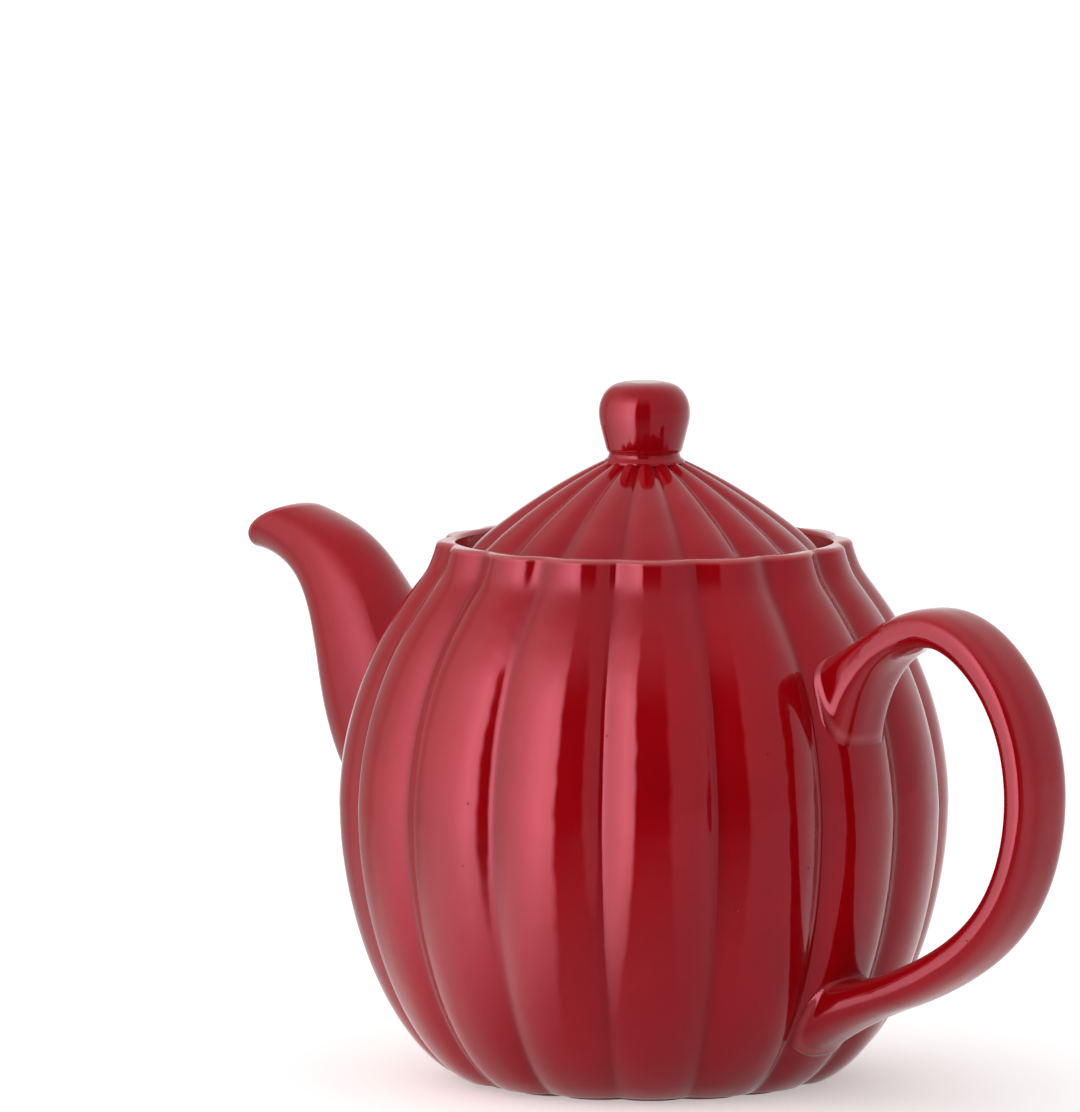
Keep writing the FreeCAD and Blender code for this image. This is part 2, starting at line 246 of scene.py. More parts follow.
def press_lobes(piece):
    """Draws the valleys in and stores how much glaze pools and painted crease shade darkens at each point.
    """
    points = get_points(piece)
    press = get_layer(piece, "press")
    crease = get_layer(piece, "crease")
    pool_and_shade = np.zeros(len(points))
    lobe_angle = 2 * math.pi / LOBES
    for index, (x, y, z) in enumerate(points):
        radius = math.hypot(x, y)
        turns = math.atan2(y, x) / lobe_angle
        lobe = math.floor(turns + 0.5)
        offset = (turns - lobe) * 2
        crowded = math.copysign(1 - (1 - min(1, abs(offset))) ** CROWDING, offset)
        angle = (lobe + crowded / 2) * lobe_angle
        share = valley_share(angle, crease[index])
        drawn = radius - press[index] * share**LOBE_SQUARENESS
        points[index] = (drawn * math.cos(angle), drawn * math.sin(angle), z)
        # Glaze pooled in the valley, which also darkens it as painted crease shade.
        pool_and_shade[index] = share**POOL_AND_SHADE_TIGHTNESS * min(1, press[index] / BELLY_LOBE_DEPTH)
    set_points(piece, points)
    set_layer(piece, "pool_and_shade", pool_and_shade)


# %% [markdown]
# ## The pot
# Outside are the heel, the belly, the shoulder and the short collar, and inside the seat that the lid rests
# in, its ledge, the throat and an even wall. The foot is a ring that was wiped clean before firing so that
# it doesn't stick to the kiln shelf, and the lid's ledge is wiped too, so both show bare clay.

# %% Sizes of the lip, the seat, the foot and the floor
LIP_ROUNDING = 1.4
LIP_THIN_AND_HIGHLIGHT = 0.8
SEAT_EDGE_ROUNDING = 1.0
SEAT_EDGE_THIN = 0.4
SEAT_COVE = 1.2
THROAT_ROUNDING = 0.8
THROAT_THIN = 0.6
FOOT_RECESS = 2.2
FOOT_RING_WIDTH = 5.0
FOOT_EDGE_ROUNDING = 0.8
FOOT_THIN = 0.6
FOOT_THIN_HEIGHT = 5.0
FLANK_STARTS = 1.2
RECESS_CORNER = 0.3
WIPED_EDGE = 0.3
FLOOR = 4.5
FLOOR_COVE_WIDTH = 8.0
FLOOR_COVE_HEIGHT = 1.5
HEEL_RISE = 10.0
SEAT_DEPTH = 6.5
SEAT_LEDGE = 5.0
SEAT_SHELF = 4.5
SHELF_CORNER = 1.0
RIM_WALL = 4.2
LEDGE_HEIGHT = RIM_HEIGHT - SEAT_DEPTH
SEAT_RADIUS = RIM_RADIUS - RIM_WALL
THROAT_RADIUS = SEAT_RADIUS - SEAT_LEDGE
FOOT_INSIDE = FOOT_RADIUS - FOOT_LOBE_DEPTH - FOOT_RING_WIDTH
OUTSIDE_ROWS = 84
INSIDE_ROWS = 30
ROUNDING_ROWS = 6
ROW_EASING = 0.75
SLOPE_STEP = 0.01
print("throat", round(2 * THROAT_RADIUS, 1), "mm wide")


# %% The pot's outline
def wall_inside(z):
    """The place one wall thickness in from the valley, square to the wall."""
    radius = crest_radius(z) - lobe_depth(z)
    above = z + SLOPE_STEP
    slope = (crest_radius(above) - lobe_depth(above) - radius) / SLOPE_STEP
    reach = WALL / math.hypot(1, slope)
    return radius - reach, z + reach * slope


def rounding(middle_radius, middle_z, size, start, end):
    """Points of a round corner, as (radius, height), between two angles in degrees."""
    places = []
    for row in range(ROUNDING_ROWS + 1):
        turn = math.radians(mix(start, end, row / ROUNDING_ROWS))
        places.append((middle_radius + size * math.cos(turn), middle_z + size * math.sin(turn)))
    return places


def pot_outline():
    """From the middle of the underside round the outside, over the lip and down to the floor inside."""
    outline = [point(0, FOOT_RECESS), point(FOOT_INSIDE / 2, FOOT_RECESS)]
    outline.append(point(FOOT_INSIDE - RECESS_CORNER, FOOT_RECESS))
    inner_edge = FOOT_INSIDE + FOOT_EDGE_ROUNDING
    for r, z in rounding(inner_edge, FOOT_EDGE_ROUNDING, FOOT_EDGE_ROUNDING, 180, 270):
        outline.append(point(r, z, bare=1))
    outer_edge = FOOT_RADIUS - FOOT_EDGE_ROUNDING
    for r, z in rounding(outer_edge, FOOT_EDGE_ROUNDING, FOOT_EDGE_ROUNDING, 270, 345):
        outline.append(point(r, z, bare=1 if z < WIPED_EDGE else 0, press=FOOT_LOBE_DEPTH, thin_and_highlight=1))
    lip_foot = RIM_HEIGHT - LIP_ROUNDING
    for row in range(OUTSIDE_ROWS + 1):
        share = row / OUTSIDE_ROWS
        z = mix(FLANK_STARTS, lip_foot, mix(share, smooth(share), ROW_EASING))
        thin_and_highlight = FOOT_THIN * smooth(1 - z / FOOT_THIN_HEIGHT)
        crease = crease_rounding(z)
        outline.append(point(crest_radius(z), z, press=lobe_depth(z), thin_and_highlight=thin_and_highlight, crease=crease))
    lip_middle = crest_radius(lip_foot) - LIP_ROUNDING
    for r, z in rounding(lip_middle, lip_foot, LIP_ROUNDING, 10, 90):
        # The lip's pale line is glaze pulled thin over the edge and a painted highlight.
        thin_and_highlight = LIP_THIN_AND_HIGHLIGHT * smooth((z - lip_foot) / LIP_ROUNDING)
        outline.append(point(r, z, press=RIM_LOBE_DEPTH, thin_and_highlight=thin_and_highlight, crease=RIM_CREASE))
    seat_middle = SEAT_RADIUS + SEAT_EDGE_ROUNDING
    for r, z in rounding(seat_middle, RIM_HEIGHT - SEAT_EDGE_ROUNDING, SEAT_EDGE_ROUNDING, 90, 180):
        outline.append(point(r, z, thin_and_highlight=SEAT_EDGE_THIN))
    outline.append(point(SEAT_RADIUS, LEDGE_HEIGHT + SEAT_COVE))
    outline.append(point(SEAT_RADIUS - SEAT_COVE / 4, LEDGE_HEIGHT + SEAT_COVE / 4))
    outline.append(point(SEAT_RADIUS - SEAT_COVE, LEDGE_HEIGHT, bare=1))
    throat_edge = THROAT_RADIUS + THROAT_ROUNDING
    for r, z in rounding(throat_edge, LEDGE_HEIGHT - THROAT_ROUNDING, THROAT_ROUNDING, 90, 180):
        outline.append(point(r, z, bare=1 if r > THROAT_RADIUS + WIPED_EDGE else 0, thin_and_highlight=THROAT_THIN))
    for row in range(INSIDE_ROWS + 1):
        z = mix(LEDGE_HEIGHT - SEAT_SHELF, HEEL_RISE, row / INSIDE_ROWS)
        r, inside_z = wall_inside(z)
        if row == 0:
            outline.append(point(THROAT_RADIUS, inside_z + SHELF_CORNER))
            outline.append(point(THROAT_RADIUS + SHELF_CORNER, inside_z))
        outline.append(point(r, inside_z))
    floor_z = FOOT_RECESS + FLOOR
    outline.append(point(FOOT_INSIDE + FLOOR_COVE_WIDTH, floor_z + FLOOR_COVE_HEIGHT))
    outline.append(point(FOOT_INSIDE, floor_z))
    outline.append(point(0, floor_z))
    return outline


# %% Model the pot
pot = turn_outline("red_pot", pot_outline(), LOBES * COLUMNS_PER_LOBE)
press_lobes(pot)
print("pot", len(pot.data.polygons), "faces")

# %% [markdown]
# ## The strainer
# Behind the spout the wall is pierced with a small flower of round holes that keeps the leaves back. On the
# real pot they are punched with a tube while the clay is soft. Cylinders cut away by a Boolean do the same.

# %% Punch the strainer holes
STRAINER_HOLE = 5.5
STRAINER_PITCH = 9.0
STRAINER_HEIGHT = 75.0
STRAINER_ROWS = (2, 3, 2)
STRAINER_DRILL_LENGTH = 40.0
DRILL_SIDES = 32


def cut_away(piece, cutter):
    """Takes the cutter's form out of a piece and removes the cutter."""
    bpy.ops.object.select_all(action="DESELECT")
    piece.select_set(True)
    bpy.context.view_layer.objects.active = piece
    cut = piece.modifiers.new("cut", "BOOLEAN")
    cut.operation = "DIFFERENCE"
    cut.solver = "EXACT"
    cut.object = cutter
    bpy.ops.object.modifier_apply(modifier="cut")
    bpy.data.objects.remove(cutter, do_unlink=True)


def add_drill(x, y, z, diameter, length, turned=0.0):
    """A round cutter with its middle at a place, upright or turned about Y by an angle in degrees."""
    bpy.ops.object.select_all(action="DESELECT")
    bpy.ops.mesh.primitive_cylinder_add(
        vertices=DRILL_SIDES,
        radius=diameter / 2 * MM,
        depth=length * MM,
        location=(x * MM, y * MM, z * MM),
        rotation=(0, math.radians(turned), 0),
    )
    return bpy.context.object


def add_strainer_drills():
    """All the strainer's drills, joined to one cutter."""
    drills = []
    for row, count in enumerate(STRAINER_ROWS):
        height = STRAINER_HEIGHT + (row - (len(STRAINER_ROWS) - 1) / 2) * STRAINER_PITCH * math.sqrt(3) / 2
        for hole in range(count):
            side = (hole - (count - 1) / 2) * STRAINER_PITCH
            drill = add_drill(-BELLY_RADIUS, side, height, STRAINER_HOLE, STRAINER_DRILL_LENGTH, turned=90)
            drills.append(drill)
    for drill in drills:
        drill.select_set(True)
    bpy.ops.object.join()
    return bpy.context.object


cut_away(pot, add_strainer_drills())
print("pot with strainer", len(pot.data.polygons), "faces")

# %% [markdown]
# ## The lid
# A shallow cone, a little bulged, whose lobes line up with the pot's and fade towards the knob. Its edge
# band stands on the ledge, and a flange below keeps it from sliding out when tea is poured. The rim of the
# lid is a sharp edge in clay, so the glaze pulls thin there.

# %% Sizes of the lid
LID_EDGE_CLEARANCE = 1.0
LID_EDGE_HEIGHT = 3.0
LID_RISE = 22.0
LID_BULGE = 1.8
LID_ROLL = 1.3
LID_ROLL_SHARE = 0.24
LID_LOBE_DEPTH = 2.5
CROWN_LOBE_DEPTH = 1.7
LID_EDGE_LOBE_DEPTH = 1.2
LID_EDGE_FADE = 0.16
LID_CREASE = 0.18
LID_EDGE_ROUNDING = 0.9
LID_EDGE_THIN = 0.5
LID_COVER_ENDS = 0.03
LID_COVER_THIN = 0.4
LID_COVER_THIN_SHARE = 0.06
LID_FOOT_CHAMFER = 0.5
LID_GAP = 0.05
FLANGE_CLEARANCE = 0.8
FLANGE_DEPTH = 11.0
FLANGE_WALL = 3.4
FLANGE_FILLET = 0.6
FLANGE_ROUNDING = 1.2
FLANGE_THIN = 0.5
HOLLOW_EDGE_DROP = 1.0
HOLLOW_EDGE_INSET = 0.8
HOLLOW_EDGE_RISE = 0.6
HOLLOW_CROWN_MARGIN = 2.0
VENT_DIAMETER = 4.0
VENT_OFFSET = 24.0
NECK_RADIUS = 8.2
NECK_GROOVE = 0.4
LID_RADIUS = SEAT_RADIUS - LID_EDGE_CLEARANCE
LID_ROWS = 40
print("lid", round(2 * LID_RADIUS, 1), "mm across")


# %% Model the lid
def lid_cover(share):
    """A place on the lid's cover, from its edge at 0 to the knob's neck at 1."""
    radius = mix(LID_RADIUS, NECK_RADIUS + NECK_GROOVE, share)
    roll = LID_ROLL * max(0, 1 - share / LID_ROLL_SHARE) ** 2
    z = LEDGE_HEIGHT + LID_EDGE_HEIGHT + LID_RISE * share + LID_BULGE * 4 * share * (1 - share) - roll
    return radius, z


def lid_outline():
    """From the top under the knob, down the cover, round the edge, and up inside the flange."""
    crown_z = LEDGE_HEIGHT + LID_EDGE_HEIGHT + LID_RISE
    outline = [point(0, crown_z)]
    for row in range(LID_ROWS + 1):
        share = mix(1, LID_COVER_ENDS, row / LID_ROWS)
        radius, z = lid_cover(share)
        cover_press = mix(LID_LOBE_DEPTH, CROWN_LOBE_DEPTH, share)
        press = mix(LID_EDGE_LOBE_DEPTH, cover_press, smooth(share / LID_EDGE_FADE))
        thin_and_highlight = LID_COVER_THIN * smooth(1 - share / LID_COVER_THIN_SHARE)
        outline.append(point(radius, z, press=press, thin_and_highlight=thin_and_highlight, crease=LID_CREASE))
    edge_z = LEDGE_HEIGHT + LID_EDGE_HEIGHT - LID_ROLL - LID_EDGE_ROUNDING
    for r, z in rounding(LID_RADIUS - LID_EDGE_ROUNDING, edge_z, LID_EDGE_ROUNDING, 50, 0):
        outline.append(point(r, z, press=LID_EDGE_LOBE_DEPTH, thin_and_highlight=LID_EDGE_THIN, crease=LID_CREASE))
    stands_at = LEDGE_HEIGHT + LID_GAP
    chamfer_foot = LID_RADIUS - LID_FOOT_CHAMFER
    for r, z, bare in ((LID_RADIUS, LEDGE_HEIGHT + LID_FOOT_CHAMFER, 0), (chamfer_foot, stands_at, 1)):
        outline.append(point(r, z, press=LID_EDGE_LOBE_DEPTH, bare=bare, crease=LID_CREASE))
    flange = THROAT_RADIUS - FLANGE_CLEARANCE
    outline.append(point(flange + FLANGE_FILLET, stands_at, bare=1))
    outline.append(point(flange, LEDGE_HEIGHT - FLANGE_FILLET, bare=1))
    bottom = LEDGE_HEIGHT - FLANGE_DEPTH + FLANGE_ROUNDING
    for r, z in rounding(flange - FLANGE_ROUNDING, bottom, FLANGE_ROUNDING, 0, -90):
        outline.append(point(r, z, thin_and_highlight=FLANGE_THIN))
    inside = flange - FLANGE_WALL
    for r, z in rounding(inside + FLANGE_ROUNDING, bottom, FLANGE_ROUNDING, 270, 180):
        outline.append(point(r, z, thin_and_highlight=FLANGE_THIN))
    slope = LID_RISE / (LID_RADIUS - NECK_RADIUS)
    hollow_top = LEDGE_HEIGHT + slope * (inside - NECK_RADIUS)
    outline.append(point(inside, LEDGE_HEIGHT - HOLLOW_EDGE_DROP))
    outline.append(point(inside - HOLLOW_EDGE_INSET, LEDGE_HEIGHT + HOLLOW_EDGE_RISE))
    outline.append(point(NECK_RADIUS + HOLLOW_CROWN_MARGIN, hollow_top - slope * HOLLOW_CROWN_MARGIN))
    outline.append(point(NECK_RADIUS - HOLLOW_CROWN_MARGIN, hollow_top))
    outline.append(point(0, hollow_top))
    return outline


lid = turn_outline("red_lid", lid_outline(), LOBES * COLUMNS_PER_LOBE)
press_lobes(lid)
cut_away(lid, add_drill(-VENT_OFFSET, 0, LEDGE_HEIGHT + LID_RISE, VENT_DIAMETER, 2 * LID_RISE))
print("lid", len(lid.data.polygons), "faces")

# %% [markdown]
# ## The knob
# A small ball with a flattened top on a short neck, thrown separately and stuck on with slip. A fine groove
# marks where the neck meets the ball. It is the same turned form, without lobes. The neck's skirt is given
# as how far it spreads at a height over the crown of the lid.

# %% Model the knob
KNOB_RADIUS = 10.5
KNOB_HEIGHT = 17.8
KNOB_WIDEST = 10.9
KNOB_FLAT_RADIUS = 4.5
KNOB_UNDERCUT = 0.62
NECK_HEIGHT = 1.9
NECK_SKIRT = ((1.4, -1.0), (0.9, 0.0), (0.25, 0.4), (0.0, 1.0))
GROOVE_HALF = 0.2
KNOB_BASE = LEDGE_HEIGHT + LID_EDGE_HEIGHT + LID_RISE
KNOB_ROWS = 24
KNOB_COLUMNS = 96
STEPS_PER_KNOT = 40


def spline_through(places, count):
    """A natural cubic spline through (x, z) places, as count + 1 even places, and its length."""
    knots = np.array(places, dtype=float)
    steps = np.hypot(*np.diff(knots, axis=0).T)
    at = np.concatenate([[0], np.cumsum(steps)])
    size = len(knots)
    matrix = np.eye(size)
    right = np.zeros((size, 2))
    for i in range(1, size - 1):
        matrix[i, i - 1 : i + 2] = (steps[i - 1], 2 * (steps[i - 1] + steps[i]), steps[i])
        right[i] = 6 * ((knots[i + 1] - knots[i]) / steps[i] - (knots[i] - knots[i - 1]) / steps[i - 1])
    bend = np.linalg.solve(matrix, right)
    fine = []
    for u in np.linspace(0, at[-1], STEPS_PER_KNOT * size):
        i = min(size - 2, max(0, int(np.searchsorted(at, u)) - 1))
        h = steps[i]
        a = (at[i + 1] - u) / h
        b = (u - at[i]) / h
        curved = ((a**3 - a) * bend[i] + (b**3 - b) * bend[i + 1]) * h * h / 6
        fine.append(a * knots[i] + b * knots[i + 1] + curved)
    fine = np.array(fine)
    run = np.concatenate([[0], np.cumsum(np.hypot(*np.diff(fine, axis=0).T))])
    even = np.linspace(0, run[-1], count + 1)
    return np.column_stack([np.interp(even, run, fine[:, 0]), np.interp(even, run, fine[:, 1])]), run[-1]


def knob_outline():
    """From under the neck, up the flank and over the flattened top."""
    waist = NECK_RADIUS + NECK_GROOVE
    places = [
        (waist, KNOB_BASE + NECK_HEIGHT),
        (mix(waist, KNOB_RADIUS, KNOB_UNDERCUT), KNOB_BASE + mix(NECK_HEIGHT, KNOB_WIDEST, 0.5)),
    ]
    for angle in (0, 30, 60, 90):
        turn = math.radians(angle)
        radius = mix(KNOB_FLAT_RADIUS, KNOB_RADIUS, math.cos(turn))
        places.append((radius, KNOB_BASE + mix(KNOB_WIDEST, KNOB_HEIGHT, math.sin(turn))))
    flank = spline_through(places, KNOB_ROWS)[0]
    outline = [point(0, KNOB_BASE + NECK_SKIRT[0][1])]
    for spread, rise in NECK_SKIRT:
        outline.append(point(NECK_RADIUS + spread, KNOB_BASE + rise))
    outline.append(point(NECK_RADIUS, KNOB_BASE + NECK_HEIGHT - GROOVE_HALF))
    for r, z in flank:
        outline.append(point(r, z))
    outline.append(point(KNOB_FLAT_RADIUS / 2, KNOB_BASE + KNOB_HEIGHT))
    outline.append(point(0, KNOB_BASE + KNOB_HEIGHT))
    return outline


knob = turn_outline("red_knob", knob_outline(), KNOB_COLUMNS)
set_layer(knob, "pool_and_shade", np.zeros(len(knob.data.vertices)))
print("knob", len(knob.data.polygons), "faces")

# %% [markdown]
# ## The strap handle
# The real handle is a strap of clay bent to a C, its ends spread and luted to one lobe. It is modelled as a
# straight strap, a rounded section extruded ring by ring with wider ends, and then bent along a curve by
# the Curve modifier. A flat curve keeps it from twisting, so the strap is bent lying down and stood up.

# %% A helper to bend a straight piece
def bend_along(piece, path):
    """Bends a piece that lies along +X along a path of (x, z) places and stands it up."""
    curve = bpy.data.curves.new("bend_path", "CURVE")
    curve.dimensions = "2D"
    line = curve.splines.new("POLY")
    line.points.add(len(path) - 1)
    for spot, (x, z) in zip(line.points, path):
        spot.co = (x * MM, z * MM, 0, 1)
    guide = bpy.data.objects.new("bend_path", curve)
    bpy.context.collection.objects.link(guide)
    bpy.ops.object.select_all(action="DESELECT")
    piece.select_set(True)
    bpy.context.view_layer.objects.active = piece
    bend = piece.modifiers.new("bend", "CURVE")
    bend.object = guide
    bend.deform_axis = "POS_X"
    bpy.ops.object.modifier_apply(modifier="bend")
    piece.rotation_euler.x = math.radians(90)
    bpy.ops.object.transform_apply(location=True, rotation=True, scale=True)
    bpy.data.objects.remove(guide, do_unlink=True)


# %% Helpers to trim and lute a piece to the wall
WALL_BITE = 1.5
CUTTER_STARTS = 0.5
CUTTER_BELOW_RIM = 8.0
CUTTER_ROWS = 48
CUTTER_COLUMNS_PER_LOBE = 12
FILLET_HEIGHT = 1.8
FILLET_REACH = 0.8
SEAM_LIFT = 0.7
SEAM_THIN_AND_HIGHLIGHT = 0.4
BELOW_LIP = 1.0


def wall_cutter():
    """The pot's outer form, a little smaller all round, to trim what is luted to its wall."""
    top = RIM_HEIGHT - CUTTER_BELOW_RIM
    heights = [mix(CUTTER_STARTS, top, row / CUTTER_ROWS) for row in range(CUTTER_ROWS + 1)]
    outline = [point(0, heights[0])]
    for z in heights:
        outline.append(point(crest_radius(z) - WALL_BITE, z, press=lobe_depth(z)))
    outline.append(point(0, heights[-1]))
    cutter = turn_outline("wall_cutter", outline, LOBES * CUTTER_COLUMNS_PER_LOBE)
    press_lobes(cutter)
    return cutter


def lute(piece):
    """Spreads the foot of a piece on the pot's wall, as wet slip does round a joint, and trims it there."""
    points = get_points(piece)
    normals = np.zeros(len(points) * 3)
    piece.data.vertices.foreach_get("normal", normals)
    normals = normals.reshape(-1, 3)
    pool_and_shade = np.zeros(len(points))
    thin_and_highlight = get_layer(piece, "thin_and_highlight")
    for index, (x, y, z) in enumerate(points):
        lift = math.hypot(x, y) - skin_radius(math.atan2(y, x), min(z, RIM_HEIGHT - BELOW_LIP))
        # A pale ring just off the wall: glaze pulled thin at the seam, and a painted highlight.
        thin_and_highlight[index] += SEAM_THIN_AND_HIGHLIGHT * max(0, 1 - abs(lift - SEAM_LIFT) / SEAM_LIFT)
        # Near the wall the piece spreads into a fillet, and its glaze is darkened there as pooled glaze and
        # painted shade between the piece and the wall.
        if lift < FILLET_HEIGHT:
            pool_and_shade[index] = (1 - max(0, lift) / FILLET_HEIGHT) ** 2
            outward = Vector((x, y, 0)).normalized()
            sideways = Vector(normals[index]) - outward * Vector(normals[index]).dot(outward)
            points[index] += np.array(sideways * FILLET_REACH * pool_and_shade[index])
    set_points(piece, points)
    set_layer(piece, "pool_and_shade", pool_and_shade)
    set_layer(piece, "thin_and_highlight", thin_and_highlight)
    cut_away(piece, wall_cutter())


# %% Sizes of the handle
HANDLE_STANDOFF = 52.1
HANDLE_DROP = 9.2
HANDLE_GRIP_HEIGHT = 73.0
HANDLE_WIDTH = 16.5
HANDLE_THICKNESS = 9.0
HANDLE_SQUARENESS = 2.8
HANDLE_CROWN_SETBACK = 27.5
HANDLE_BEND_SETBACK = 8.5
HANDLE_SHOULDER_SETBACK = 44.5
HANDLE_SHOULDER_DROP = 6.5
UPPER_BEND_SHARE = 0.70
LOWER_BEND_SHARE = 0.52
LOWER_SLOPE_SHARE = 0.24
UPPER_JOINT_DROP = 35.5
LOWER_JOINT_HEIGHT = 20.0
JOINT_EMBED = 8.0
JOINT_WIDTH = 20.5
UPPER_JOINT_THICKNESS = 25.0
LOWER_JOINT_THICKNESS = 19.0
JOINT_FLARE_LENGTH = 26.0
STRAP_SIDES = 80
FINE_STEP = 0.4
COARSE_STEP = 1.8
STRAP_EDGE_STARTS = 0.5
STRAP_EDGE_WIDTH = 0.28
STRAP_EDGE_THIN = 0.15
PATH_POINTS = 240
print("grip", round(BELLY_RADIUS + HANDLE_STANDOFF, 1), "mm from the axis")


# %% The handle's path and section
def handle_path():
    """The middle line of the strap, from the upper joint round the grip to the lower joint."""
    grip = BELLY_RADIUS + HANDLE_STANDOFF - HANDLE_THICKNESS / 2
    crown = RIM_HEIGHT - HANDLE_DROP - HANDLE_THICKNESS / 2
    upper = RIM_HEIGHT - UPPER_JOINT_DROP
    lower = LOWER_JOINT_HEIGHT
    places = [
        (crest_radius(upper) - JOINT_EMBED, upper),
        (grip - HANDLE_SHOULDER_SETBACK, crown - HANDLE_SHOULDER_DROP),
        (grip - HANDLE_CROWN_SETBACK, crown),
        (grip - HANDLE_BEND_SETBACK, mix(HANDLE_GRIP_HEIGHT, crown, UPPER_BEND_SHARE)),
        (grip, HANDLE_GRIP_HEIGHT),
        (grip - HANDLE_BEND_SETBACK, mix(lower, HANDLE_GRIP_HEIGHT, LOWER_BEND_SHARE)),
        (grip - HANDLE_CROWN_SETBACK, mix(lower, HANDLE_GRIP_HEIGHT, LOWER_SLOPE_SHARE)),
        (crest_radius(lower) - JOINT_EMBED, lower),
    ]
    return spline_through(places, PATH_POINTS)


def strap_section(along, length):
    """Width and thickness of the strap at a distance along it."""
    from_end = min(along, length - along)
    flare = max(0, 1 - from_end / JOINT_FLARE_LENGTH) ** 2
    joint = UPPER_JOINT_THICKNESS if along < length / 2 else LOWER_JOINT_THICKNESS
    return mix(HANDLE_WIDTH, JOINT_WIDTH, flare), mix(HANDLE_THICKNESS, joint, flare)


def strap_stations(length):
    """Distances along the strap, close together at the joints."""
    stations = [0.0]
    while stations[-1] < length - FINE_STEP:
        near_end = min(stations[-1], length - stations[-1]) < JOINT_FLARE_LENGTH
        stations.append(min(length, stations[-1] + (FINE_STEP if near_end else COARSE_STEP)))
    return stations


# %% Model the handle
def straight_strap(length):
    """The strap laid straight along +X, extruded ring by ring."""
    bpy.ops.object.select_all(action="DESELECT")
    bpy.ops.mesh.primitive_circle_add(
        vertices=STRAP_SIDES,
        radius=0.5 * MM,
        fill_type="NGON",
        rotation=(math.radians(90), 0, math.radians(90)),
    )
    bpy.ops.object.transform_apply(location=True, rotation=True, scale=True)
    strap = bpy.context.object
    strap.name = "red_handle"
    edit(strap)
    stations = strap_stations(length)
    width, thickness = strap_section(0, length)
    bpy.ops.mesh.select_all(action="SELECT")
    bpy.ops.transform.resize(value=(1, thickness, width))
    for here, there in zip(stations, stations[1:]):
        bpy.ops.mesh.extrude_region_move(TRANSFORM_OT_translate={"value": ((there - here) * MM, 0, 0)})
        new_width, new_thickness = strap_section(there, length)
        bpy.ops.transform.resize(value=(1, new_thickness / thickness, new_width / width))
        width, thickness = new_width, new_thickness
    bpy.ops.mesh.select_all(action="SELECT")
    bpy.ops.mesh.normals_make_consistent(inside=False)
    bpy.ops.mesh.faces_shade_smooth()
    close_edit()
    return strap


def square_up(strap, length):
    """Fills the oval section out to a strap with rounded edges."""
    points = get_points(strap)
    thin_and_highlight = np.zeros(len(points))
    for index, (x, y, z) in enumerate(points):
        width, thickness = strap_section(x, length)
        across = abs(2 * z / width)
        outward = abs(2 * y / thickness)
        fill = (across**HANDLE_SQUARENESS + outward**HANDLE_SQUARENESS) ** (-1 / HANDLE_SQUARENESS)
        points[index] = (x, y * fill, z * fill)
        corner = min(across, outward) * fill
        thin_and_highlight[index] = smooth((corner - STRAP_EDGE_STARTS) / STRAP_EDGE_WIDTH)
    set_points(strap, points)
    set_layer(strap, "thin_and_highlight", thin_and_highlight * STRAP_EDGE_THIN)


path, handle_length = handle_path()
handle = straight_strap(handle_length)
square_up(handle, handle_length)
bend_along(handle, path)
lute(handle)
set_layer(handle, "bare", np.zeros(len(handle.data.vertices)))
print("handle", len(handle.data.polygons), "faces,", round(handle_length), "mm of strap")

# %% [markdown]
# ## The spout
# A tapering tube, wide and oval at its root, round at its tip, with a slanting mouth. It is turned first as
# a straight tube with a rounded lip and a bore, then flattened at the root, its mouth is slanted, and it is
# bent along its own path with the same modifier as the handle.

# %% Sizes of the spout
SPOUT_STANDOFF = 39.2
SPOUT_DROP = 4.4
SPOUT_ROOT_HEIGHT = 55.0
SPOUT_ROOT_RADIUS = 27.0
SPOUT_ROOT_FLATNESS = 0.75
SPOUT_TIP_RADIUS = 8.4
SPOUT_TAPER = 1.25
SPOUT_TAPER_END_SHARE = 0.86
SPOUT_ROUND_SHARE = 0.5
SPOUT_WALL = 3.2
SPOUT_MOUTH_TILT = 22.0
SPOUT_MOUTH_RISE = 2.9
SPOUT_LIP_ROUNDING = 2.0
SPOUT_LIP_WALL = 4.0
SPOUT_LIP_THICKENS = 14.0
SPOUT_LIP_BULGE = 2.0
SPOUT_LIP_NARROWS = 0.30
SPOUT_LIP_SLANT = 0.70
SPOUT_LIP_THIN = 0.4
SPOUT_BROW = 2.4
SPOUT_BROW_LENGTH = 16.0
SPOUT_BROW_NARROWS = 0.28
SPOUT_ROOT_INSET = 26.0
SPOUT_KNEE_STANDOFF = 5.0
SPOUT_KNEE_RISE = 22.0
SPOUT_BEND_SETBACK = 11.3
SPOUT_BEND_DROP = 6.5
SPOUT_RUN_OUT = 17.0
SPOUT_RUN_OUT_RISE = 3.0
MOUTH_X = -BELLY_RADIUS - SPOUT_STANDOFF
MOUTH_Z = RIM_HEIGHT - SPOUT_DROP
SPOUT_ROWS = 200
SPOUT_COLUMNS = 128
SLANT_FADE = 26.0
print("spout's mouth at", round(MOUTH_X, 1), round(MOUTH_Z, 1), "mm")


# %% The spout's path and outline
def spout_path():
    """The middle line of the spout, from inside the wall to just beyond the mouth."""
    places = [
        (-BELLY_RADIUS + SPOUT_ROOT_INSET, SPOUT_ROOT_HEIGHT),
        (-BELLY_RADIUS - SPOUT_KNEE_STANDOFF, SPOUT_ROOT_HEIGHT + SPOUT_KNEE_RISE),
        (MOUTH_X + SPOUT_BEND_SETBACK, MOUTH_Z - SPOUT_BEND_DROP),
        (MOUTH_X, MOUTH_Z),
        (MOUTH_X - SPOUT_RUN_OUT, MOUTH_Z + SPOUT_RUN_OUT_RISE),
    ]
    return spline_through(places, PATH_POINTS)


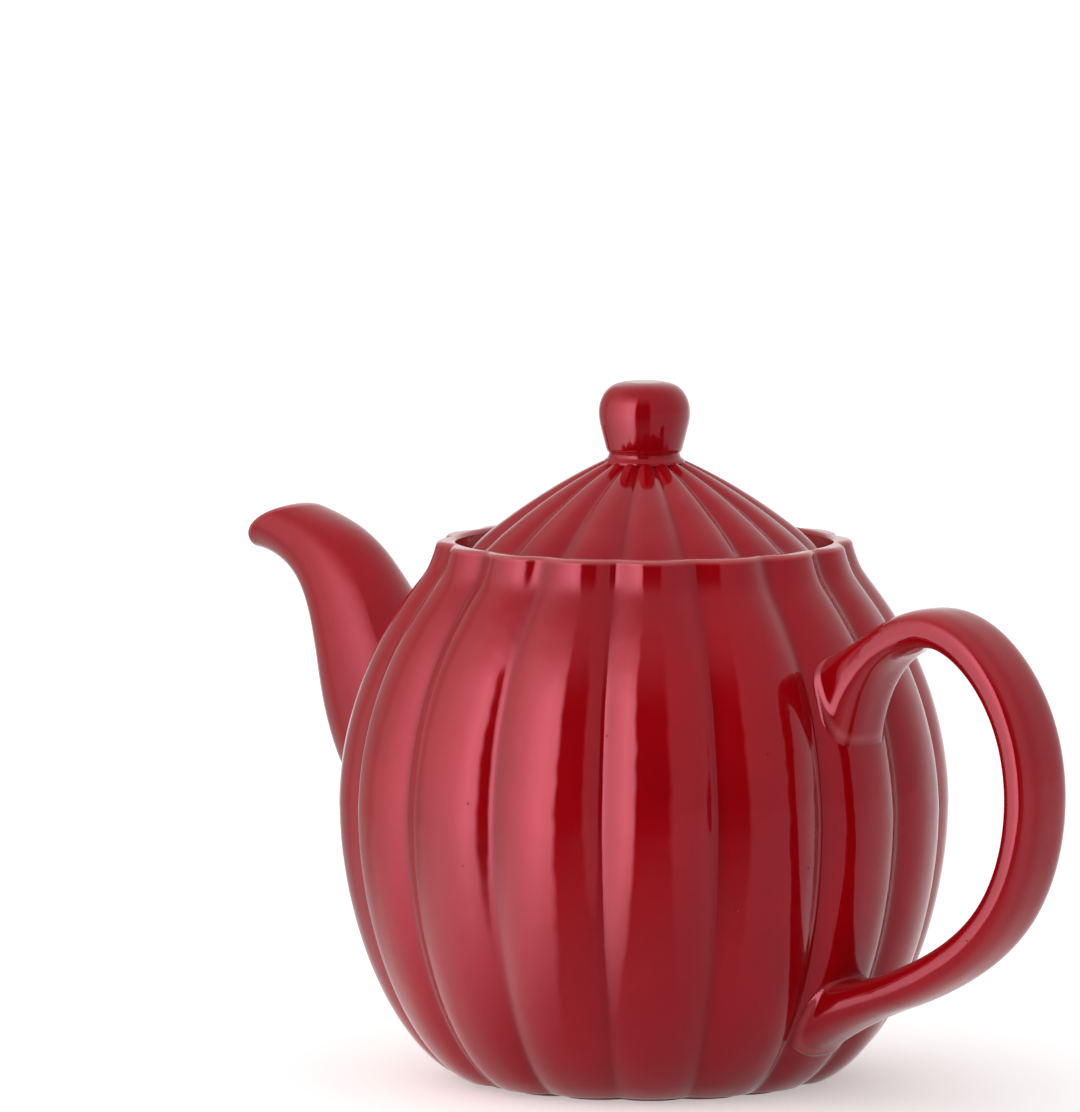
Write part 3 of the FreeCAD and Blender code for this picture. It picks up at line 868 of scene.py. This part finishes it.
def spout_radius(share):
    """Outer radius of the spout a share of the way along its path."""
    swell = max(0, 1 - share / SPOUT_TAPER_END_SHARE) ** SPOUT_TAPER
    return mix(SPOUT_TIP_RADIUS, SPOUT_ROOT_RADIUS, swell)


def mouth_cut(path, length):
    """How far along the path the mouth's plane crosses it, and its slant against a square cut."""
    tilt = math.radians(SPOUT_MOUTH_TILT)
    normal = np.array([-math.sin(tilt), math.cos(tilt)])
    middle = np.array([MOUTH_X, MOUTH_Z]) + normal * SPOUT_MOUTH_RISE
    height = (path - middle) @ normal
    crossing = int(np.argmax(height > 0))
    forward = path[crossing] - path[crossing - 1]
    forward /= np.hypot(*forward)
    upward = np.array([forward[1], -forward[0]])
    slant = (normal @ upward) / (normal @ forward)
    return length * crossing / (len(path) - 1), slant


def spout_outline(length, mouth):
    """The tube's outline about an upright axis: up the outside, over the lip and down the bore."""
    outline = []
    lip = mouth - SPOUT_LIP_ROUNDING
    for row in range(SPOUT_ROWS + 1):
        z = mix(0, lip, row / SPOUT_ROWS)
        outline.append(point(spout_radius(z / length), z))
    tip = spout_radius(lip / length)
    for r, z in rounding(tip - SPOUT_LIP_ROUNDING, lip, SPOUT_LIP_ROUNDING, 15, 90):
        outline.append(point(r, z, thin_and_highlight=SPOUT_LIP_THIN))
    bore = tip - SPOUT_LIP_WALL
    for r, z in rounding(bore + SPOUT_LIP_ROUNDING, lip, SPOUT_LIP_ROUNDING, 90, 180):
        outline.append(point(r, z, thin_and_highlight=SPOUT_LIP_THIN))
    for row in range(SPOUT_ROWS):
        z = mix(lip, 0, (row + 1) / SPOUT_ROWS)
        wall = mix(SPOUT_WALL, SPOUT_LIP_WALL, smooth(1 - (lip - z) / SPOUT_LIP_THICKENS))
        outline.append(point(spout_radius(z / length) - wall, z))
    outline.append(dict(outline[0]))
    return outline


# %% Model the spout
def lay_down(piece, length, mouth, slant):
    """Lays the tube along +X, flattens its root, slants its mouth and rounds the lip."""
    points = get_points(piece)
    laid = np.zeros_like(points)
    for index, (x, y, z) in enumerate(points):
        flatness = mix(SPOUT_ROOT_FLATNESS, 1, smooth(z / length / SPOUT_ROUND_SHARE))
        fade = smooth(1 - (mouth - z) / SLANT_FADE)
        brow = (max(0, 1 - (mouth - z) / SPOUT_BROW_LENGTH) * max(0, x / SPOUT_TIP_RADIUS)) ** 2
        upward = x - SPOUT_BROW * brow
        lower = fade * max(0, -x / SPOUT_TIP_RADIUS) ** 2
        sideways = y * flatness * (1 - SPOUT_BROW_NARROWS * brow) * (1 - SPOUT_LIP_NARROWS * lower)
        bulge = SPOUT_LIP_BULGE * (1 - (upward / SPOUT_TIP_RADIUS) ** 2)
        laid[index] = (z + (bulge - slant * upward) * fade, -upward, sideways)
    set_points(piece, laid)
    edit(piece)
    bpy.ops.mesh.select_all(action="SELECT")
    bpy.ops.mesh.normals_make_consistent(inside=False)
    close_edit()


path, spout_length = spout_path()
mouth_at, mouth_slant = mouth_cut(path, spout_length)
spout = turn_outline("red_spout", spout_outline(spout_length, mouth_at), SPOUT_COLUMNS)
lay_down(spout, spout_length, mouth_at, mouth_slant * SPOUT_LIP_SLANT)
bend_along(spout, path)
lute(spout)
print("spout", len(spout.data.polygons), "faces, slant", round(mouth_slant, 2))

# %% [markdown]
# ## Place in the model
# The pot, the spout and the handle are one rigid body, and the lid carries its knob. Each new piece is
# listed with the CAD piece it stands for, which is hidden, and is parented to an empty for the body it
# moves with.

# %% Hand the pieces to the frame
PIECES = (
    (pot, "pot_body", "pot"),
    (spout, "spout", "pot"),
    (handle, "handle", "pot"),
    (lid, "lid", "lid"),
    (knob, "lid_knob", "lid"),
)
for piece, node, body in PIECES:
    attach(piece, body)
    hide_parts(node)
print("pieces", [piece.name for piece, node, body in PIECES])

# %% [markdown]
# ## The red glaze
# A glossy transparent red glaze over pale stoneware. Where it lies thick, in the valleys and round the
# joints, it goes dark, and that darkening is also painted shade of the creases and joints. Where an edge
# pulls it thin the pale clay shines through, and on the lip and at the joints' seams that pale line is also
# a painted highlight. The colour drifts a little with thickness, fine pinholes break the surface, and the
# gloss has the slow ripple of melted glass.
# In the photograph it mirrors in its own red, and white only at glancing angles, which a specular tint
# gives.

# %% Colours and a helper for nodes
GLAZE_RED = "#A80410"
GLAZE_DEEP = "#9A030D"
# The pool colour is also painted crease shade, and the thin colour below is also a painted highlight.
GLAZE_POOL_AND_SHADE = "#7A0208"
GLAZE_THIN_AND_HIGHLIGHT = "#CC6A6A"
GLAZE_SHEEN = "#FF95A6"
CLAY_BARE = "#C9B49A"
PINHOLE_DARK = "#4A0508"


def linear(code):
    """A hex colour as the linear RGBA that shaders take."""
    parts = [int(code[i : i + 2], 16) / 255 for i in (1, 3, 5)]
    rgb = [p / 12.92 if p <= 0.04045 else ((p + 0.055) / 1.055) ** 2.4 for p in parts]
    return (*rgb, 1)


def add_node(tree, kind, links=(), inputs=(), **settings):
    """Adds one shader node, sets it up and links (input, output socket) pairs into it."""
    node = tree.nodes.new(kind)
    for name, value in settings.items():
        setattr(node, name, value)
    for name, value in inputs:
        node.inputs[name].default_value = value
    for name, socket in links:
        tree.links.new(socket, node.inputs[name])
    return node


def new_material(name):
    """An empty node material and its output node."""
    material = bpy.data.materials.new(name)
    material.use_nodes = True
    material.node_tree.nodes.clear()
    output = material.node_tree.nodes.new("ShaderNodeOutputMaterial")
    return material, material.node_tree, output


# %% The glaze material
CLOUD_SIZE = 35.0
RIPPLE_SIZE = 14.0
RIPPLE_HEIGHT = 0.8
PINHOLE_SPACING = 11.0
PINHOLE_DEPTH = 0.15
GLAZE_IOR = 1.6
GLAZE_ROUGHNESS = 0.07
CLAY_ROUGHNESS = 0.85
POOL_AND_SHADE_DARKENS = 0.55
glaze, tree, output = new_material("glossy_red_glaze_on_stoneware")
place = add_node(tree, "ShaderNodeTexCoord").outputs["Object"]
clouds = add_node(
    tree,
    "ShaderNodeTexNoise",
    links=[("Vector", place)],
    inputs=[("Scale", 1 / (CLOUD_SIZE * MM)), ("Detail", 4.0), ("Roughness", 0.55)],
)
thickness = add_node(
    tree,
    "ShaderNodeMapRange",
    links=[("Value", clouds.outputs["Fac"])],
    inputs=[("From Min", 0.35), ("From Max", 0.65)],
)
body_colour = add_node(
    tree,
    "ShaderNodeMix",
    data_type="RGBA",
    links=[("Factor", thickness.outputs["Result"])],
    inputs=[(6, linear(GLAZE_RED)), (7, linear(GLAZE_DEEP))],
)
# Darker glaze in the valleys and round the joints: pooled glaze and painted shade.
pool_and_shade = add_node(tree, "ShaderNodeAttribute", attribute_name="pool_and_shade")
pool_and_shade_share = add_node(
    tree,
    "ShaderNodeMapRange",
    links=[("Value", pool_and_shade.outputs["Fac"])],
    inputs=[("To Max", POOL_AND_SHADE_DARKENS)],
)
pooled_and_shaded = add_node(
    tree,
    "ShaderNodeMix",
    data_type="RGBA",
    links=[("Factor", pool_and_shade_share.outputs["Result"]), (6, body_colour.outputs[2])],
    inputs=[(7, linear(GLAZE_POOL_AND_SHADE))],
)
# Pale glaze on edges: glaze pulled thin, and on the lip and the joints' seams also a painted highlight.
thin_and_highlight = add_node(tree, "ShaderNodeAttribute", attribute_name="thin_and_highlight")
broken_and_highlighted = add_node(
    tree,
    "ShaderNodeMix",
    data_type="RGBA",
    links=[("Factor", thin_and_highlight.outputs["Fac"]), (6, pooled_and_shaded.outputs[2])],
    inputs=[(7, linear(GLAZE_THIN_AND_HIGHLIGHT))],
)
pinholes = add_node(
    tree,
    "ShaderNodeTexVoronoi",
    links=[("Vector", place)],
    inputs=[("Scale", 1 / (PINHOLE_SPACING * MM)), ("Randomness", 1.0)],
)
pinhole_spot = add_node(
    tree,
    "ShaderNodeMapRange",
    links=[("Value", pinholes.outputs["Distance"])],
    inputs=[("From Min", 0.015), ("From Max", 0.03), ("To Min", 1.0), ("To Max", 0.0)],
)
speckled = add_node(
    tree,
    "ShaderNodeMix",
    data_type="RGBA",
    links=[("Factor", pinhole_spot.outputs["Result"]), (6, broken_and_highlighted.outputs[2])],
    inputs=[(7, linear(PINHOLE_DARK))],
)
bare = add_node(tree, "ShaderNodeAttribute", attribute_name="bare")
coloured = add_node(
    tree,
    "ShaderNodeMix",
    data_type="RGBA",
    links=[("Factor", bare.outputs["Fac"]), (6, speckled.outputs[2])],
    inputs=[(7, linear(CLAY_BARE))],
)
gloss = add_node(
    tree,
    "ShaderNodeMapRange",
    links=[("Value", bare.outputs["Fac"])],
    inputs=[("To Min", GLAZE_ROUGHNESS), ("To Max", CLAY_ROUGHNESS)],
)
ripple = add_node(
    tree,
    "ShaderNodeTexNoise",
    links=[("Vector", place)],
    inputs=[("Scale", 1 / (RIPPLE_SIZE * MM)), ("Detail", 2.0)],
)
ripple_bump = add_node(
    tree,
    "ShaderNodeBump",
    links=[("Height", ripple.outputs["Fac"])],
    inputs=[("Strength", 0.4), ("Distance", RIPPLE_HEIGHT * MM)],
)
pinhole_bump = add_node(
    tree,
    "ShaderNodeBump",
    links=[("Height", pinhole_spot.outputs["Result"]), ("Normal", ripple_bump.outputs["Normal"])],
    inputs=[("Strength", 0.5), ("Distance", PINHOLE_DEPTH * MM)],
    invert=True,
)
shader = add_node(
    tree,
    "ShaderNodeBsdfPrincipled",
    links=[
        ("Base Color", coloured.outputs[2]),
        ("Roughness", gloss.outputs["Result"]),
        ("Normal", pinhole_bump.outputs["Normal"]),
    ],
    inputs=[("IOR", GLAZE_IOR), ("Specular Tint", linear(GLAZE_SHEEN))],
)
tree.links.new(shader.outputs["BSDF"], output.inputs["Surface"])
for piece, node, body in PIECES:
    piece.data.materials.clear()
    piece.data.materials.append(glaze)
print("glaze nodes", len(tree.nodes))

# %% [markdown]
# ## Camera
# The photograph was taken from far away with a long lens, a little above the table, from the handle's side.

# %% Set up the camera
CAMERA_PLACE = Vector((2007.39, -2229.43, 440.0)) * MM
CAMERA_FORWARD = Vector((-0.67124, 0.73364, -0.10586))
CAMERA_LENS = 425.98
SENSOR_HEIGHT = 36.0
FARTHEST_SEEN = 100.0
camera_data = bpy.data.cameras.new("photo_camera")
camera_data.sensor_fit = "VERTICAL"
camera_data.sensor_height = SENSOR_HEIGHT
camera_data.lens = CAMERA_LENS
camera_data.clip_end = FARTHEST_SEEN
camera = bpy.data.objects.new("photo_camera", camera_data)
camera.location = CAMERA_PLACE
camera.rotation_euler = CAMERA_FORWARD.to_track_quat("-Z", "Y").to_euler()
bpy.context.collection.objects.link(camera)
bpy.context.scene.camera = camera
print("camera", round(CAMERA_PLACE.length, 2), "m from the pot")

# %% [markdown]
# ## Floor and room
# White paper under the pot that keeps its soft shadow, in a white room. Both glow a little for the camera
# and for reflections, so that the background is white without more light on the pot. The room's light is
# even, stronger from the left and from above, and a slope of brightness across the world gives that softer
# than any lamp.

# %% Lay the floor
TO_CAMERA = Vector((CAMERA_PLACE.x, CAMERA_PLACE.y, 0)).normalized()
TO_LEFT = Vector((TO_CAMERA.y, -TO_CAMERA.x, 0))
UP = Vector((0, 0, 1))
FLOOR_COLOUR = "#F2F2F2"
FLOOR_LIFT = 0.42
FLOOR_SIZE = 60.0
LIGHT_LEVEL = 0.64
LIGHT_FROM_LEFT = 0.66
LIGHT_FROM_ABOVE = 0.40


def rays_that_show_it(tree):
    """1 for the rays that show a background as it is: camera, glossy and transmission rays."""
    ray = add_node(tree, "ShaderNodeLightPath").outputs
    seen = add_node(
        tree,
        "ShaderNodeMath",
        operation="ADD",
        use_clamp=True,
        links=[(0, ray["Is Camera Ray"]), (1, ray["Is Glossy Ray"])],
    )
    return add_node(
        tree,
        "ShaderNodeMath",
        operation="ADD",
        use_clamp=True,
        links=[(0, seen.outputs[0]), (1, ray["Is Transmission Ray"])],
    ).outputs[0]


bpy.ops.object.select_all(action="DESELECT")
bpy.ops.mesh.primitive_plane_add(size=FLOOR_SIZE)
floor = bpy.context.object
floor.name = "studio_floor"
paper, tree, output = new_material("white_paper_floor")
lift = add_node(
    tree,
    "ShaderNodeMath",
    operation="MULTIPLY",
    links=[(0, rays_that_show_it(tree))],
    inputs=[(1, FLOOR_LIFT)],
)
glow = add_node(tree, "ShaderNodeEmission", links=[("Strength", lift.outputs[0])])
matt = add_node(tree, "ShaderNodeBsdfDiffuse", inputs=[("Color", linear(FLOOR_COLOUR))])
both = add_node(tree, "ShaderNodeAddShader", links=[(0, glow.outputs[0]), (1, matt.outputs[0])])
tree.links.new(both.outputs[0], output.inputs["Surface"])
floor.data.materials.append(paper)
print("floor", FLOOR_SIZE, "m wide")

# %% Light the room
world = bpy.data.worlds.new("white_room")
bpy.context.scene.world = world
world.use_nodes = True
tree = world.node_tree
tree.nodes.clear()
slope = add_node(
    tree,
    "ShaderNodeVectorMath",
    operation="DOT_PRODUCT",
    links=[(0, add_node(tree, "ShaderNodeTexCoord").outputs["Generated"])],
    inputs=[(1, TO_LEFT * LIGHT_FROM_LEFT + UP * LIGHT_FROM_ABOVE)],
)
light = add_node(
    tree,
    "ShaderNodeMath",
    operation="ADD",
    use_clamp=True,
    links=[(0, slope.outputs["Value"])],
    inputs=[(1, LIGHT_LEVEL)],
)
strength = add_node(
    tree,
    "ShaderNodeMix",
    links=[("Factor", rays_that_show_it(tree)), (2, light.outputs[0])],
    inputs=[(3, 1.0)],
)
air = add_node(
    tree,
    "ShaderNodeBackground",
    links=[("Strength", strength.outputs[0])],
    inputs=[("Color", (1, 1, 1, 1))],
)
add_node(tree, "ShaderNodeOutputWorld", links=[("Surface", air.outputs[0])])
bpy.context.scene.view_settings.view_transform = "Standard"

# %% [markdown]
# ## What the glaze mirrors
# Glossy glaze shows its surroundings: the white room, the paper, and in the photograph also a large softbox
# on the left with a grey screen behind it, and a dark gap in front, where the camera looks in. The slope
# above already gives the softbox's light, so here only its mirror image is missing. It is painted by
# direction on a shell that reflections alone see, because flat panels leave hard edges on the lobes.
# Elsewhere the shell is open, and the glaze mirrors the white room and the paper. Swings are degrees from
# the camera's direction towards its left.

# %% Put up the shell for the softbox and the dark gap
SHELL_RADIUS = 600.0
SHELL_MIDDLE = 65.0
SHELL_HEM = 0.3
SOFTBOX_BRIGHTEST = 7.3
PANELS = (
    (-18, 0.03, 0),
    (-13, 0.03, 1),
    (21, 0.03, 1),
    (26, 6.4, 1),
    (38, 7.3, 1),
    (60, 4.7, 1),
    (90, 2.1, 1),
    (115, 0.6, 1),
    (150, 0.4, 1),
    (165, 0.4, 0),
)
PANEL_TOP_STARTS = 30.0
PANEL_TOP_ENDS = 68.0
PANEL_FOOT_STARTS = 0.10
PANEL_FOOT_ENDS = -0.75
PANEL_FOOT_TILT = 0.12
bpy.ops.object.select_all(action="DESELECT")
bpy.ops.mesh.primitive_uv_sphere_add(
    segments=64,
    ring_count=32,
    radius=SHELL_RADIUS * MM,
    location=(0, 0, SHELL_MIDDLE * MM),
)
shell = bpy.context.object
shell.name = "softbox_shell"
shell_points = get_points(shell)
shell_points[:, 2] = np.maximum(shell_points[:, 2], SHELL_HEM - SHELL_MIDDLE)
set_points(shell, shell_points)
for ray_kind in ("camera", "diffuse", "transmission", "volume_scatter", "shadow"):
    setattr(shell, "visible_" + ray_kind, False)

# %% Paint the softbox and the dark gap by direction
cloth, tree, output = new_material("softbox_cloth")
place = add_node(tree, "ShaderNodeTexCoord").outputs["Object"]
direction = add_node(tree, "ShaderNodeVectorMath", operation="NORMALIZE", links=[(0, place)]).outputs[0]
ahead = add_node(
    tree,
    "ShaderNodeVectorMath",
    operation="DOT_PRODUCT",
    links=[(0, direction)],
    inputs=[(1, TO_CAMERA)],
)
leftward = add_node(
    tree,
    "ShaderNodeVectorMath",
    operation="DOT_PRODUCT",
    links=[(0, direction)],
    inputs=[(1, TO_LEFT)],
)
swing = add_node(
    tree,
    "ShaderNodeMath",
    operation="ARCTAN2",
    links=[(0, leftward.outputs["Value"]), (1, ahead.outputs["Value"])],
)
swing_share = add_node(
    tree,
    "ShaderNodeMapRange",
    links=[("Value", swing.outputs[0])],
    inputs=[("From Min", -math.pi), ("From Max", math.pi)],
)
panels = add_node(tree, "ShaderNodeValToRGB", links=[("Fac", swing_share.outputs["Result"])])
stops = panels.color_ramp.elements
while len(stops) < len(PANELS):
    stops.new(0.5)
for stop, (degrees, radiance, share) in zip(stops, PANELS):
    stop.position = (degrees + 180) / 360
    level = radiance / SOFTBOX_BRIGHTEST
    stop.color = (level, level, level, share)
panel_glow = add_node(
    tree,
    "ShaderNodeMath",
    operation="MULTIPLY",
    links=[(0, panels.outputs["Color"])],
    inputs=[(1, SOFTBOX_BRIGHTEST)],
)

# %% Leave the shell open above and below them
upward = add_node(tree, "ShaderNodeSeparateXYZ", links=[("Vector", direction)])
below_top = add_node(
    tree,
    "ShaderNodeMapRange",
    interpolation_type="SMOOTHSTEP",
    links=[("Value", upward.outputs["Z"])],
    inputs=[
        ("From Min", math.sin(math.radians(PANEL_TOP_ENDS))),
        ("From Max", math.sin(math.radians(PANEL_TOP_STARTS))),
    ],
)
tilted = add_node(
    tree,
    "ShaderNodeVectorMath",
    operation="DOT_PRODUCT",
    links=[(0, direction)],
    inputs=[(1, UP + TO_LEFT * PANEL_FOOT_TILT)],
)
above_foot = add_node(
    tree,
    "ShaderNodeMapRange",
    interpolation_type="SMOOTHSTEP",
    links=[("Value", tilted.outputs["Value"])],
    inputs=[("From Min", PANEL_FOOT_ENDS), ("From Max", PANEL_FOOT_STARTS)],
)
between = add_node(
    tree,
    "ShaderNodeMath",
    operation="MULTIPLY",
    links=[(0, below_top.outputs["Result"]), (1, above_foot.outputs["Result"])],
)
panel_share = add_node(
    tree,
    "ShaderNodeMath",
    operation="MULTIPLY",
    links=[(0, between.outputs[0]), (1, panels.outputs["Alpha"])],
)
open_shell = add_node(tree, "ShaderNodeBsdfTransparent")
panel = add_node(tree, "ShaderNodeEmission", links=[("Strength", panel_glow.outputs[0])])
cloth_or_open = add_node(
    tree,
    "ShaderNodeMixShader",
    links=[(0, panel_share.outputs[0]), (1, open_shell.outputs[0]), (2, panel.outputs[0])],
)
tree.links.new(cloth_or_open.outputs[0], output.inputs["Surface"])
cloth.cycles.emission_sampling = "NONE"
shell.data.materials.append(cloth)
print("shell nodes", len(tree.nodes))
